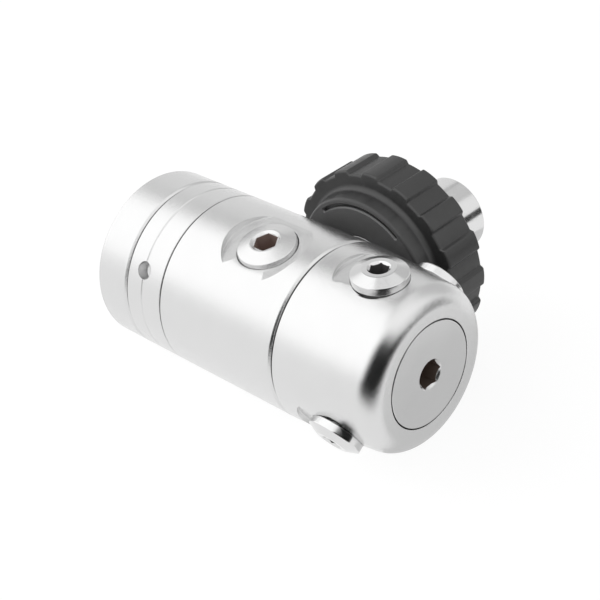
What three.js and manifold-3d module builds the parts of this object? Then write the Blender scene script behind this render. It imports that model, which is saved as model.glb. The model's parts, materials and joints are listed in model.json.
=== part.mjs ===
// The first stage of a scuba regulator: a balanced diaphragm valve in a round body, with a swivelling turret
// of low-pressure ports on one end, and a cylinder connector with a rubber handwheel on its side.
//
// Lengths are in millimetres. In the bench frame +X runs along the body from the cap to the turret, and +Y
// runs out along the cylinder connector. A profile is a list of [distance along the axis, radius]. An angle
// round the body is counted from +Y towards +Z. The finished group lies on its side, as it does on a table.
import * as THREE from "three";
import { mergeVertices } from "three/addons/utils/BufferGeometryUtils.js";
import Module from "manifold-3d";

const wasm = await Module();
wasm.setup();

// ---------------------------------------------------------------- driving dimensions
const gap = 0.3; // clearance between pieces that meet
const overcut = 1; // how far a cutting tool stands past what it cuts

const bodyRadius = 21; // cap, clamp, body and turret share it
const capLength = 10.4;
const clampLength = 11.6;
const bodyLength = 35.2;
const turretLength = 26.4;

const capLip = 2.2; // thickness of the cap's inward lip
const capOpening = 12.5; // radius of the hole in the cap's face
const capConeWidth = 1.5; // the cone that opens the hole towards the face
const capWall = 4.2;
const capRimChamfer = 0.8;
const grooveChamfer = 0.5; // the chamfers that make the grooves between cap, clamp and turret
const fineChamfer = 0.15;

const clampWall = 4.5; // spring chamber to the clamp's threaded end
const clampLineOffset = 5.4; // the fine turned line, from the clamp's cap end
const clampLineWidth = 0.5;
const clampLineDepth = 0.3;
const spannerHoleRadius = 2.1;
const spannerHoleDepth = 3;
const spannerHoleCount = 3;
const spannerHoleAngle = 151.06;

const environmentalThickness = 1;
const transmitterThickness = 1.2;
const transmitterStem = 3;
const transmitterPlay = 0.1; // to the outer diaphragm, with the valve closed
const plateClearance = 0.7; // radial, round the plates that move in the spring chamber
const nutLength = 5;
const nutBoreClearance = 3.5; // round the transmitter's stem
const nutSlotWidth = 2.5;
const nutSlotDepth = 1.8;
const nutOutTravel = 0.5; // how far the nut screws out from rest
const seatThickness = 1.2;
const mainSpringWire = 2;
const mainSpringTurns = 3.6;
const mainSpringPlay = 1.1; // inside the spring seat's rim

const diaphragmWall = 3.7; // body wall round the diaphragm
const diaphragmThickness = 1.6;
const diaphragmLedge = 8; // depth of the diaphragm's ledge in the body
const ledgeWidth = 3.3;
const washerThickness = 0.6;
const plateFlange = 1.6;
const plateBoss = 1.8;
const plateStep = 1.3; // flange to boss, in radius

const chamberDepth = 3.2; // intermediate-pressure chamber behind the diaphragm
const partition = 2.2;
const lifterHole = 3;
const lifterHead = 5.5;
const lifterHeadThickness = 1.2;
const lifterStem = 1.4;
const valveLift = 0.6;
const cavityRadius = 7; // high-pressure cavity
const seatLength = 2;
const seatLip = 0.3;
const seatLipBase = 1.2; // width of the raised lip round the orifice
const seatLipTop = 0.4;
const orificeClearance = 0.6; // round the lifter's stem
const poppetHead = 4.6;
const poppetHeadThickness = 2.4;
const poppetStem = 2;
const poppetSpringWire = 0.9;
const poppetSpringTurns = 4;
const poppetSpringPlay = 0.85; // round the poppet's stem
const balanceRecess = 7.8; // the cavity's end to the body's shoulder
const balanceLength = 4.7;
const balanceGroove = 1.5;
const boltBore = 8; // threaded bore for the balance plug and the turret bolt
const tailDepth = 2.5; // how far the poppet's tail reaches into the balance plug
const passageRadius = 1.2; // drilling from the chamber to the turret
const crossingRadius = 1.1; // short hole from the drilling into the threaded bore
const passageWall = 1.2; // keeps the drilling inside the spigot's wall
const portFloorWall = 1.6; // wall between a port's floor and the threaded bore

const spigotRadius = 12;
const spigotLength = 8.2;
const turretRound = 4.8; // radius of the turret's end edge
const turretLean = 6.3; // degrees: how far its side leans in where that edge starts
const boltShankStep = 0.7; // shank past its thread, in radius
const boltHead = 12.2;
const boltHeadThickness = 2.5;
const boltHollow = 3.5;
const boltHollowRun = 1; // past the cross holes
const boltCrossHole = 2;
const boltSocketFlats = 6;
const boltSocketDepth = 5;
const boltSocketMouth = 3.6;
const sinkDepth = 0.5; // depth of the cone at a socket's mouth
const turretWasherThickness = 0.5;
const portChamberHeight = 1.5; // ring-shaped gas space inside the turret
const portChamberHalf = 3.4;
const oringGroove = 2; // depth of the grooves on spigot and bolt
const roundSteps = 4; // straight pieces in the turret's end edge
const sideSteps = 4; // and in its side

const lpPortOffset = 14.4; // low-pressure ports, from the turret's inner end
const lpPortAngles = [91.36, 22, 211.36, 271.36];
const lpPortShifts = [0, -0.8, 0, 0]; // along the body
const gaugePortAngles = [102.66, 257.34]; // high-pressure ports
const gaugePortOffset = 3.3; // towards the cap from the cylinder connector
const inletOffset = 3.5; // connector axis to the cavity's turret end

// A port and its plug: spotface, head recess, o-ring gland and threaded bore, then the head and its socket.
const lpPort = {
  spotDepth: 1.2,
  spotRadius: 9.9,
  recess: 0.7,
  gland: 1.5,
  glandWidth: 1.85,
  shank: 4.65,
  floorWall: 1.7, // port floor to the space that it feeds
  passage: 2.6,
  headLower: 6.2,
  headUpper: 6.3,
  headSide: 1.85,
  top: 3.66,
  topRise: 1.15,
  socketFlats: 4,
  socketDepth: 4,
  mouth: 2.75,
};
const gaugePort = {
  spotDepth: 1.8,
  spotRadius: 10.4,
  recess: 0.8,
  gland: 1.5,
  glandWidth: 1.6,
  shank: 5.55,
  passage: 2,
  headLower: 7,
  headUpper: 6.7,
  headSide: 1.5,
  top: 3.7,
  topRise: 1.1,
  socketFlats: 5,
  socketDepth: 4.5,
  mouth: 3.35,
};

const inletSpotDepth = 1.2;
const inletSpotRadius = 11;
const inletPassage = 2.8;
const spindleRadius = 7;
const noseLip = 1.2; // nose past the spindle, in radius
const noseLength = 10;
const noseProud = 0.8; // past the barrel's end
const spindleSocketFlats = 8;
const spindleSocketDepth = 5.3;
const spindleInlet = 2.8;
const filterBore = 3.9;
const filterLength = 4.2;
const filterBase = 1; // straight part of the filter, below its cone
const filterTaper = 1.2;
const clipThickness = 0.8;
const clipWidth = 1;
const faceLand = 1; // outside the sealing groove in the nose
const faceGrooveWidth = 1.6;
const faceGrooveDepth = 1.6;
const spindleGroove = 1.8;
const spindleGrooveOffset = 5.5; // from the spindle's inner end

const barrelWall = 1; // round the spindle's nose
const barrelLength = 34.4;
const barrelChamfer = 0.4;
const flangeRadius = 13.5;
const flangeThickness = 6;
const flangeInset = 4; // from the handwheel's hub face
const hubClearance = 0.5; // hub face to the body
const hubRound = 0.9;
const hubDraft = 0.4;
const hubFillet = 1; // between the hub and the rim's near face
const plugPass = 3.6; // rim's near face to the turret's plugs as they swing past
const wheelWidth = 11.1;
const wheelRadius = 24.1;
const wheelChamfer = 0.6;
const faceWidth = 5.1; // hub to tread
const farRecessWidth = 1.7; // shallow recess round the barrel on the far side
const farRecessDraft = 0.8;
const farRecessDepth = 1.6;
const lobeCount = 16;
const lobeDepth = 0.95;
const lobeHalf = 0.23; // half of a lobe's top, as a share of the pitch
const lobeFlank = 0.05; // its flank, likewise
const slotMargin = 1.1; // slot to the hub's edge
const slotWidth = 1.3;
const slotDepth = 1.2;
const slotSpan = 83;
const slotCount = 3;

const fine = 32; // sides of the large turned pieces
const medium = 24; // of the barrel
const coarse = 16; // of the small and the hidden ones, and of ports and plugs
const small = 12; // of drilled holes

// ---------------------------------------------------------------- stations along the body
const capEnd = capLength;
const clampStart = capEnd + gap;
const clampEnd = clampStart + clampLength;
const bodyStart = clampEnd + gap;
const bodyEnd = bodyStart + bodyLength;
const turretStart = bodyEnd + gap;
const turretEnd = turretStart + turretLength;

const capBore = bodyRadius - capWall;
const diaphragmBore = bodyRadius - diaphragmWall;
const clampThread = diaphragmBore - gap;
const springChamber = clampThread - clampWall;
const plateRadius = springChamber - plateClearance;
const chamberRadius = diaphragmBore - ledgeWidth;

const environmentalStart = capLip + gap;
const environmentalEnd = environmentalStart + environmentalThickness;
const clampBossStart = environmentalEnd + gap;
const transmitterStart = environmentalEnd + valveLift + transmitterPlay;
const transmitterEnd = transmitterStart + transmitterThickness;
const nutStart = transmitterEnd + nutOutTravel + gap;
const nutEnd = nutStart + nutLength;
const seatStart = nutEnd + gap;
const seatEnd = seatStart + seatThickness;

const ledge = bodyStart + diaphragmLedge;
const diaphragmEnd = ledge - gap;
const diaphragmStart = diaphragmEnd - diaphragmThickness;
const washerEnd = diaphragmStart - gap;
const washerStart = washerEnd - washerThickness;
const clampThreadEnd = washerStart - gap;
const plateEnd = diaphragmStart - gap;
const plateStart = plateEnd - plateBoss - plateFlange;

const chamberEnd = ledge + chamberDepth;
const cavityStart = chamberEnd + partition;
const valveSeatStart = cavityStart + gap;
const valveSeatEnd = valveSeatStart + seatLength;
const poppetStart = valveSeatEnd + seatLip + gap + valveLift;
const poppetHeadEnd = poppetStart + poppetHeadThickness;
const cavityEnd = bodyEnd - balanceRecess;
const balanceStart = cavityEnd + gap;
const balanceEnd = balanceStart + balanceLength;
const poppetEnd = balanceStart + tailDepth;
const orifice = lifterStem + orificeClearance;

const spigotEnd = bodyEnd + spigotLength;
const boltShoulder = spigotEnd + gap;
const boltStart = balanceEnd + passageRadius * 2 - gap;
const boltHeadStart = turretEnd - boltHeadThickness;
const turretSeat = boltHeadStart - turretWasherThickness - 2 * gap;
const boltShank = boltBore + boltShankStep;
const boltClear = boltShank + gap;
const portChamber = boltClear + portChamberHeight;
const lpPortX = turretStart + lpPortOffset;
const inletX = cavityEnd - inletOffset;
const gaugePortX = inletX - gaugePortOffset;
const passageOffset = boltBore + passageRadius + passageWall;
const portFloor = boltBore + portFloorWall;

// How far a plug's seat, shoulder and top stand from the body's axis.
function plugHeights(port) {
  const bottom = bodyRadius - port.spotDepth - port.recess + gap;
  const shoulder = bottom + port.headSide;
  return { bottom, shoulder, top: shoulder + port.topRise };
}

// ---------------------------------------------------------------- stations along the cylinder connector
const inletSpot = bodyRadius - inletSpotDepth;
const spindleStart = portFloor + gap;
const hubFace = bodyRadius + hubClearance;
const spindleNose = spindleRadius + noseLip;
const faceGrooveOuter = spindleNose - faceLand;
const faceGrooveInner = faceGrooveOuter - faceGrooveWidth;
const barrelMouth = spindleNose + gap;
const barrelRadius = barrelMouth + barrelWall;
const barrelStart = hubFace + gap;
const barrelEnd = barrelStart + barrelLength;
const noseEnd = barrelEnd + noseProud;
const noseStart = noseEnd - noseLength;
const barrelStep = noseStart - gap;
const socketFloor = noseEnd - spindleSocketDepth;
const clipStart = socketFloor - clipThickness;
const filterEnd = clipStart - gap;
const filterStart = filterEnd - filterLength;
const rimNear = plugHeights(lpPort).top + plugPass;
const rimFar = rimNear + wheelWidth;
const flangeStart = hubFace + flangeInset;
const flangeEnd = flangeStart + flangeThickness;
const hubRadius = wheelRadius - faceWidth;
const slotOuter = hubRadius - slotMargin;
const slotInner = slotOuter - slotWidth;

// ---------------------------------------------------------------- materials
const metal = (color, roughness) => new THREE.MeshStandardMaterial({ color, roughness, metalness: 1 });
const soft = (color, roughness) => new THREE.MeshStandardMaterial({ color, roughness, metalness: 0 });
const satinChrome = metal(0xcdcfd1, 0.38);
const polishedChrome = metal(0xe2e4e6, 0.1);
const brass = metal(0xb8995a, 0.35);
const springSteel = metal(0x9a9da0, 0.3);
const sinteredBronze = metal(0x8d7350, 0.8);
const wheelRubber = soft(0x343436, 0.65);
const sealRubber = soft(0x1d1d1e, 0.6);
const whitePlastic = soft(0xe6e4dd, 0.5);

// ---------------------------------------------------------------- shapes
const radians = THREE.MathUtils.degToRad;

// A turned shape round +Y. A profile that doesn't start on the axis closes on itself.
function turned(profile, sides = fine) {
  const loop = profile[0][1] > 0 ? [...profile, profile[0]] : profile;
  const points = loop.map(([along, radius]) => new THREE.Vector2(radius, along));
  if (THREE.ShapeUtils.area(points) < 0) points.reverse();
  return new THREE.LatheGeometry(points, sides);
}

const ring = (start, end, inner, outer, sides = coarse) =>
  turned([[start, inner], [start, outer], [end, outer], [end, inner]], sides);
const rod = (start, end, radius, sides = coarse) =>
  turned([[start, 0], [start, radius], [end, radius], [end, 0]], sides);

// Round corner of a profile, about its centre: 0 degrees points outwards and 90 along the axis.
function arc([along, radius], size, from, to, steps) {
  return Array.from({ length: steps + 1 }, (_, i) => {
    const angle = radians(from + ((to - from) * i) / steps);
    return [along + size * Math.sin(angle), radius + size * Math.cos(angle)];
  });
}

// The cone at a socket's mouth.
function countersink(face, mouth) {
  return turned([
    [face + sinkDepth, 0], [face + sinkDepth, mouth + sinkDepth],
    [face - sinkDepth, mouth - sinkDepth], [face - sinkDepth, 0],
  ], small);
}

// An outline in X and Z, drawn as a shape, between two heights on Y.
function prism(shape, from, to) {
  const made = new THREE.ExtrudeGeometry(shape, { depth: to - from, bevelEnabled: false, curveSegments: 10 });
  return made.rotateX(Math.PI / 2).translate(0, to, 0);
}

function hexagon(flats) {
  const corner = flats / 2 / Math.cos(Math.PI / 6);
  const points = Array.from({ length: 6 }, (_, i) => {
    const angle = (i * Math.PI) / 3;
    return new THREE.Vector2(corner * Math.cos(angle), corner * Math.sin(angle));
  });
  return new THREE.Shape(points);
}

// An o-ring round +Y that fills the space between two radii, less the clearance on both sides.
function oring(centre, inner, outer) {
  const made = new THREE.TorusGeometry((inner + outer) / 2, (outer - inner) / 2 - gap, 5, 14);
  return made.rotateX(Math.PI / 2).translate(0, centre, 0);
}

// An open coil spring round +Y, with as many turns as the space holds with daylight between them.
function coil(start, end, radius, wire, wantedTurns) {
  const rise = end - start - wire;
  const turns = Math.min(wantedTurns, rise / (wire + 0.5));
  class Helix extends THREE.Curve {
    getPoint(t, target = new THREE.Vector3()) {
      const angle = 2 * Math.PI * turns * t;
      return target.set(radius * Math.cos(angle), start + wire / 2 + rise * t, radius * Math.sin(angle));
    }
  }
  const section = new THREE.Shape(
    Array.from({ length: 5 }, (_, i) => {
      const angle = (i * 2 * Math.PI) / 5;
      return new THREE.Vector2((wire / 2) * Math.cos(angle), (wire / 2) * Math.sin(angle));
    }),
  );
  return new THREE.ExtrudeGeometry(section, { steps: Math.ceil(turns * 10), extrudePath: new Helix() });
}

// ---------------------------------------------------------------- joining and cutting
function solid(geometry) {
  geometry.deleteAttribute("normal");
  geometry.deleteAttribute("uv");
  const welded = mergeVertices(geometry, 1e-4);
  const vertProperties = welded.attributes.position.array;
  const triVerts = new Uint32Array(welded.index.array);
  return new wasm.Manifold(new wasm.Mesh({ numProp: 3, vertProperties, triVerts }));
}

function geometryOf(made) {
  const { vertProperties, triVerts } = made.getMesh();
  return new THREE.BufferGeometry()
    .setAttribute("position", new THREE.BufferAttribute(vertProperties, 3))
    .setIndex(new THREE.BufferAttribute(triVerts, 1));
}

const cut = (blank, ...tools) =>
  geometryOf(tools.reduce((left, tool) => left.subtract(solid(tool)), solid(blank)));
const common = (a, b) => geometryOf(solid(a).intersect(solid(b)));

// Shapes are turned round +Y. These lay them along the body, or stand them on it as a port does.
const alongBody = (geometry) => geometry.rotateZ(-Math.PI / 2);
const onPort = (geometry, x, angle) => geometry.rotateX(radians(angle)).translate(x, 0, 0);

// ---------------------------------------------------------------- the assembly
const bench = new THREE.Group();

function add(name, geometry, material) {
  const piece = new THREE.Mesh(geometry, material);
  piece.name = name;
  bench.add(piece);
  return piece;
}

const addAlong = (name, geometry, material) => add(name, alongBody(geometry), material);

// A piece that stands on the body keeps its own axis: its mesh is turned and moved, not its geometry.
function addOnPort(name, geometry, material, x, angle) {
  const piece = add(name, geometry, material);
  piece.rotation.x = radians(angle);
  piece.position.x = x;
}

function makeCap() {
  addAlong("end_cap", turned([
    [0, capOpening + capConeWidth], [0, bodyRadius - capRimChamfer], [capRimChamfer, bodyRadius],
    [capEnd - grooveChamfer, bodyRadius], [capEnd, bodyRadius - grooveChamfer],
    [capEnd, capBore], [capLip, capBore], [capLip, capOpening], [capLip / 2, capOpening],
  ]), satinChrome);
  addAlong("environmental_diaphragm", rod(environmentalStart, environmentalEnd, capBore - gap), sealRubber);
}

function makeClamp() {
  const line = clampStart + clampLineOffset;
  const boss = capBore - gap;
  const blank = alongBody(turned([
    [clampBossStart, springChamber], [clampBossStart, boss], [clampStart, boss],
    [clampStart, bodyRadius - grooveChamfer], [clampStart + grooveChamfer, bodyRadius],
    [line - clampLineWidth / 2, bodyRadius], [line, bodyRadius - clampLineDepth],
    [line + clampLineWidth / 2, bodyRadius], [clampEnd - fineChamfer, bodyRadius],
    [clampEnd, bodyRadius - fineChamfer], [clampEnd, clampThread],
    [clampThreadEnd, clampThread], [clampThreadEnd, springChamber],
  ]));
  const holes = Array.from({ length: spannerHoleCount }, (_, i) =>
    onPort(rod(bodyRadius - spannerHoleDepth, bodyRadius + overcut, spannerHoleRadius, small),
      line, spannerHoleAngle + (i * 360) / spannerHoleCount));
  add("diaphragm_clamp", cut(blank, ...holes), satinChrome);
}

function makeAdjuster() {
  const outer = springChamber - gap;
  const inner = transmitterStem + nutBoreClearance;
  const slot = new THREE.BoxGeometry(2 * bodyRadius, nutSlotDepth * 2, nutSlotWidth);
  slot.translate(0, nutStart, 0);
  addAlong("adjusting_nut", cut(ring(nutStart, nutEnd, inner, outer), slot), brass);
  addAlong("spring_seat", ring(seatStart, seatEnd, inner, outer), springSteel);
  const springRadius = outer - mainSpringPlay - mainSpringWire / 2;
  const spring = coil(seatEnd + gap, plateStart - gap, springRadius, mainSpringWire, mainSpringTurns);
  addAlong("main_spring", spring, springSteel);
}

function makeDiaphragm() {
  const boss = plateRadius - plateStep;
  addAlong("load_transmitter", turned([
    [transmitterStart, 0], [transmitterStart, plateRadius], [transmitterEnd, plateRadius],
    [transmitterEnd, transmitterStem], [plateStart - gap, transmitterStem], [plateStart - gap, 0],
  ], coarse), whitePlastic);
  addAlong("diaphragm_plate", turned([
    [plateStart, 0], [plateStart, plateRadius], [plateStart + plateFlange, plateRadius],
    [plateStart + plateFlange, boss], [plateEnd, boss], [plateEnd, 0],
  ], coarse), brass);
  addAlong("thrust_washer", ring(washerStart, washerEnd, springChamber, clampThread), whitePlastic);
  addAlong("main_diaphragm", rod(diaphragmStart, diaphragmEnd, clampThread), sealRubber);
}

function makeValve() {
  const lifterStart = diaphragmEnd + gap;
  const seatRadius = cavityRadius - gap;
  addAlong("valve_lifter", turned([
    [lifterStart, 0], [lifterStart, lifterHead], [lifterStart + lifterHeadThickness, lifterHead],
    [lifterStart + lifterHeadThickness, lifterStem], [poppetStart - gap, lifterStem], [poppetStart - gap, 0],
  ], coarse), springSteel);
  addAlong("valve_seat", turned([
    [valveSeatStart, orifice], [valveSeatStart, seatRadius], [valveSeatEnd, seatRadius],
    [valveSeatEnd, orifice + seatLipBase], [valveSeatEnd + seatLip, orifice + seatLipTop],
    [valveSeatEnd + seatLip, orifice],
  ], coarse), brass);
  addAlong("valve_poppet", turned([
    [poppetStart, 0], [poppetStart, poppetHead], [poppetHeadEnd, poppetHead],
    [poppetHeadEnd, poppetStem], [poppetEnd, poppetStem], [poppetEnd, 0],
  ], coarse), brass);
  const springRadius = poppetStem + poppetSpringPlay + poppetSpringWire / 2;
  const [springStart, springEnd] = [poppetHeadEnd + gap, balanceStart - gap];
  const spring = coil(springStart, springEnd, springRadius, poppetSpringWire, poppetSpringTurns);
  addAlong("poppet_spring", spring, springSteel);
}

function makeBalancePlug() {
  const outer = boltBore - gap;
  const groove = outer - balanceGroove;
  const centre = (balanceStart + balanceEnd) / 2;
  const half = (boltBore - groove) / 2;
  const tailBore = poppetStem + gap;
  addAlong("balance_plug", turned([
    [balanceEnd, 0], [balanceEnd, outer], [centre + half, outer], [centre + half, groove],
    [centre - half, groove], [centre - half, outer], [balanceStart, outer], [balanceStart, tailBore],
    [poppetEnd + gap, tailBore], [poppetEnd + gap, 0],
  ], coarse), brass);
  addAlong("balance_plug_oring", oring(centre, groove, boltBore), sealRubber);
}

// The tool that sinks a port into a round body of the shared radius, down to a floor, and on into the
// hollow round the body's axis that it feeds.
function portTool(port, floor, hollow) {
  const spot = bodyRadius - port.spotDepth;
  const recessFloor = spot - port.recess;
  const glandFloor = recessFloor - port.gland;
  const above = bodyRadius + overcut;
  const reach = hollow - overcut;
  const head = Math.max(port.headLower, port.headUpper) + gap;
  return turned([
    [above, 0], [above, port.spotRadius], [spot, port.spotRadius], [spot, head],
    [recessFloor, head], [recessFloor, port.shank + port.glandWidth],
    [glandFloor, port.shank + port.glandWidth], [glandFloor, port.shank + gap],
    [floor, port.shank + gap], [floor, port.passage], [reach, port.passage], [reach, 0],
  ], coarse);
}

function addPlug(name, port, floor, x, angle, material) {
  const { bottom, shoulder, top } = plugHeights(port);
  const blank = turned([
    [floor + gap, 0], [floor + gap, port.shank], [bottom, port.shank], [bottom, port.headLower],
    [shoulder, port.headUpper], [top, port.top], [top, 0],
  ], coarse);
  const mouth = countersink(top, port.mouth);
  const socket = prism(hexagon(port.socketFlats), top - port.socketDepth, top + overcut);
  addOnPort(name, cut(blank, mouth, socket), material, x, angle);
  const sealCentre = bottom - (port.gland + gap) / 2;
  addOnPort(name.replace("plug", "plug_oring"),
    oring(sealCentre, port.shank, port.shank + port.glandWidth), sealRubber, x, angle);
}

function makeBody() {
  const groove = spigotRadius - oringGroove;
  const grooveCentre = bodyEnd + spigotLength / 2;
  const grooveHalf = (spigotRadius + gap - groove) / 2;
  const blank = alongBody(turned([
    [bodyStart, diaphragmBore], [bodyStart, bodyRadius - fineChamfer], [bodyStart + fineChamfer, bodyRadius],
    [bodyEnd - grooveChamfer, bodyRadius], [bodyEnd, bodyRadius - grooveChamfer], [bodyEnd, spigotRadius],
    [grooveCentre - grooveHalf, spigotRadius], [grooveCentre - grooveHalf, groove],
    [grooveCentre + grooveHalf, groove], [grooveCentre + grooveHalf, spigotRadius],
    [spigotEnd, spigotRadius], [spigotEnd, boltBore], [cavityEnd, boltBore], [cavityEnd, cavityRadius],
    [cavityStart, cavityRadius], [cavityStart, lifterHole], [chamberEnd, lifterHole],
    [chamberEnd, chamberRadius], [ledge, chamberRadius], [ledge, diaphragmBore],
  ]));
  const inlet = onPort(turned([
    [bodyRadius + overcut, 0], [bodyRadius + overcut, inletSpotRadius], [inletSpot, inletSpotRadius],
    [inletSpot, spindleRadius + gap], [portFloor, spindleRadius + gap], [portFloor, inletPassage],
    [cavityRadius - overcut, inletPassage], [cavityRadius - overcut, 0],
  ], coarse), inletX, 0);
  const ports = gaugePortAngles.map((angle) =>
    onPort(portTool(gaugePort, portFloor, cavityRadius), gaugePortX, angle));
  const crossX = balanceEnd + passageRadius;
  const drilling = alongBody(rod(chamberEnd - overcut, crossX + passageRadius, passageRadius, small))
    .translate(0, -passageOffset, 0);
  const crossing = onPort(rod(boltBore - overcut, passageOffset, crossingRadius, small), crossX, 180);
  add("main_body", cut(blank, inlet, ...ports, drilling, crossing), satinChrome);
  addAlong("turret_oring", oring(grooveCentre, groove, spigotRadius + gap), sealRubber);
  gaugePortAngles.forEach((angle, i) =>
    addPlug(`gauge_plug_${i + 1}`, gaugePort, portFloor, gaugePortX, angle, satinChrome));
}

// Its side narrows in a slow curve, and the end's round edge runs on from it.
function makeTurret() {
  const lean = radians(turretLean);
  const sideEnd = turretEnd - turretRound * (1 - Math.sin(lean));
  const run = sideEnd - turretStart;
  const narrowing = (2 / 3) * run * Math.tan(lean);
  const side = Array.from({ length: sideSteps }, (_, i) => {
    const x = turretStart + grooveChamfer + ((run - grooveChamfer) * i) / sideSteps;
    return [x, bodyRadius - narrowing * ((x - turretStart) / run) ** 1.5];
  });
  const edge = [turretEnd - turretRound, bodyRadius - narrowing - turretRound * Math.cos(lean)];
  const step = spigotEnd + gap;
  const blank = alongBody(turned([
    [turretStart, spigotRadius + gap], [turretStart, bodyRadius - grooveChamfer],
    ...side, ...arc(edge, turretRound, turretLean, 90, roundSteps),
    [turretEnd, boltHead + gap], [turretSeat, boltHead + gap], [turretSeat, boltClear],
    [lpPortX + portChamberHalf, boltClear], [lpPortX + portChamberHalf, portChamber],
    [lpPortX - portChamberHalf, portChamber], [lpPortX - portChamberHalf, boltClear],
    [step, boltClear], [step, spigotRadius + gap],
  ]));
  const floor = portChamber + lpPort.floorWall;
  const ports = lpPortAngles.map((angle, i) =>
    onPort(portTool(lpPort, floor, portChamber), lpPortX + lpPortShifts[i], angle));
  add("turret", cut(blank, ...ports), satinChrome);
  lpPortAngles.forEach((angle, i) =>
    addPlug(`lp_plug_${i + 1}`, lpPort, floor, lpPortX + lpPortShifts[i], angle, polishedChrome));
}

function makeTurretBolt() {
  const thread = boltBore - gap;
  const groove = boltShank - oringGroove;
  const half = (boltClear - groove) / 2;
  const grooveCentre = (lpPortX + portChamberHalf + turretSeat) / 2;
  const hollowEnd = lpPortX + boltCrossHole + boltHollowRun;
  const blank = turned([
    [hollowEnd, 0], [hollowEnd, boltHollow], [boltStart, boltHollow], [boltStart, thread],
    [boltShoulder, thread], [boltShoulder, boltShank], [grooveCentre - half, boltShank],
    [grooveCentre - half, groove], [grooveCentre + half, groove], [grooveCentre + half, boltShank],
    [boltHeadStart, boltShank], [boltHeadStart, boltHead], [turretEnd, boltHead], [turretEnd, 0],
  ], fine);
  const socket = prism(hexagon(boltSocketFlats), turretEnd - boltSocketDepth, turretEnd + overcut);
  const mouth = countersink(turretEnd, boltSocketMouth);
  const reach = boltShank + overcut;
  const across = [0, 90].map((angle) =>
    rod(-reach, reach, boltCrossHole, small).rotateX(Math.PI / 2)
      .rotateY(radians(angle)).translate(0, lpPortX, 0));
  addAlong("turret_bolt", cut(blank, socket, mouth, ...across), satinChrome);
  addAlong("turret_bolt_oring", oring(grooveCentre, groove, boltClear), sealRubber);
  const washer = ring(turretSeat + gap, boltHeadStart - gap, boltClear, boltHead, fine);
  addAlong("turret_washer", washer, whitePlastic);
}

function makeConnector() {
  const groove = spindleRadius - spindleGroove;
  const grooveCentre = spindleStart + spindleGrooveOffset;
  const half = (spindleRadius + gap - groove) / 2;
  const blank = turned([
    [spindleStart, spindleInlet], [spindleStart, spindleRadius], [grooveCentre - half, spindleRadius],
    [grooveCentre - half, groove], [grooveCentre + half, groove], [grooveCentre + half, spindleRadius],
    [noseStart, spindleRadius], [noseStart, spindleNose], [noseEnd, spindleNose],
    [noseEnd, faceGrooveOuter], [noseEnd - faceGrooveDepth, faceGrooveOuter],
    [noseEnd - faceGrooveDepth, faceGrooveInner], [noseEnd, faceGrooveInner],
    [noseEnd, filterBore], [filterStart - gap, filterBore], [filterStart - gap, spindleInlet],
  ], coarse);
  const socket = prism(hexagon(spindleSocketFlats), socketFloor, noseEnd + overcut);
  addOnPort("din_spindle", cut(blank, socket), polishedChrome, inletX, 0);
  addOnPort("din_spindle_oring", oring(grooveCentre, groove, spindleRadius + gap), sealRubber, inletX, 0);
  const faceRing = (faceGrooveOuter - faceGrooveInner) / 2 - gap;
  addOnPort("din_face_oring",
    oring(noseEnd - faceRing - gap, faceGrooveInner, faceGrooveOuter), sealRubber, inletX, 0);
  const filter = filterBore - gap;
  addOnPort("din_filter", turned([
    [filterStart, 0], [filterStart, filter], [filterStart + filterBase, filter],
    [filterEnd, filter - filterTaper], [filterEnd, 0],
  ], coarse), sinteredBronze, inletX, 0);
  const clip = ring(clipStart, socketFloor, filter - clipWidth, filter);
  addOnPort("filter_clip", clip, springSteel, inletX, 0);
}

// Shallow notches with flat floors and steep flanks, and a lobe on +X. The outline stands past the lobes.
function notchedOutline() {
  const pitch = (2 * Math.PI) / lobeCount;
  const floor = wheelRadius - lobeDepth;
  const past = wheelRadius + overcut;
  const foot = lobeHalf + lobeFlank;
  const shoulder = lobeHalf - (lobeFlank * overcut) / lobeDepth;
  const steps = [[-shoulder, past], [shoulder, past], [foot, floor], [0.5, floor], [1 - foot, floor]];
  const points = [];
  for (let i = 0; i < lobeCount; i++) {
    for (const [share, radius] of steps) {
      const angle = (i + share) * pitch;
      points.push(new THREE.Vector2(radius * Math.cos(angle), radius * Math.sin(angle)));
    }
  }
  return new THREE.Shape(points);
}

function hubSlot(turn) {
  const half = radians(slotSpan / 2);
  const shape = new THREE.Shape();
  shape.absarc(0, 0, slotOuter, turn - half, turn + half, false);
  shape.absarc(0, 0, slotInner, turn + half, turn - half, true);
  return prism(shape, hubFace - overcut, hubFace + slotDepth);
}

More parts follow.
